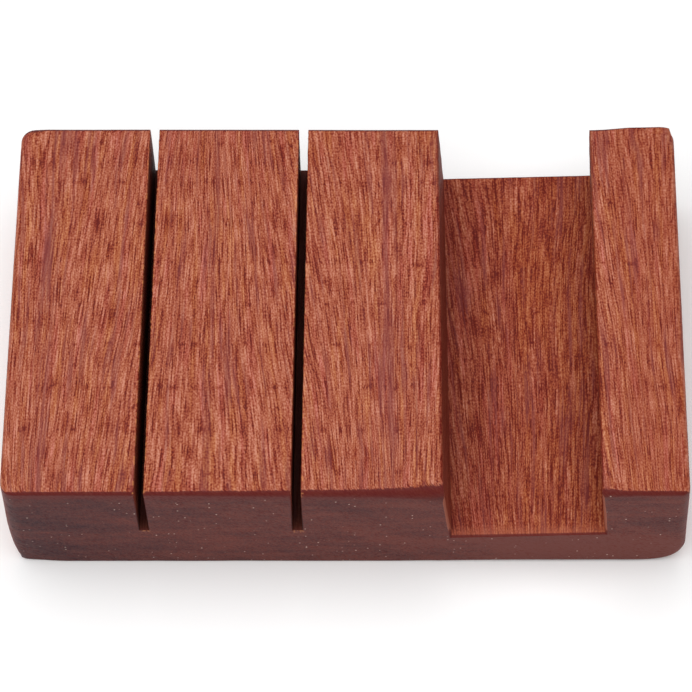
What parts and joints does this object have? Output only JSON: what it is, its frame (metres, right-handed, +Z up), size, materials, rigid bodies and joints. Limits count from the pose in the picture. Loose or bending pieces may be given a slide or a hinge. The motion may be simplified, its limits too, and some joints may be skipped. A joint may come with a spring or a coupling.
{
  "type": "table number holder",
  "caption": "Low rectangular hardwood block with narrow through kerfs for upright cards and a wide tipped channel for a thick card or small sign.",
  "frame": {"origin": "middle of the base face, on the surface that the block stands on", "axes": "+X to the right along the long front, from the kerfs to the channel; +Y to the back, along the kerfs and the grain; +Z up"},
  "size_m": [0.1108, 0.0688, 0.0255],
  "materials": {
    "oiled_hardwood": "hand-sanded reddish-brown hardwood with a thin satin oil finish, end grain darker"
  },
  "bodies": {
    "root": {"holder_block": "oiled_hardwood"}
  },
  "joints": []
}
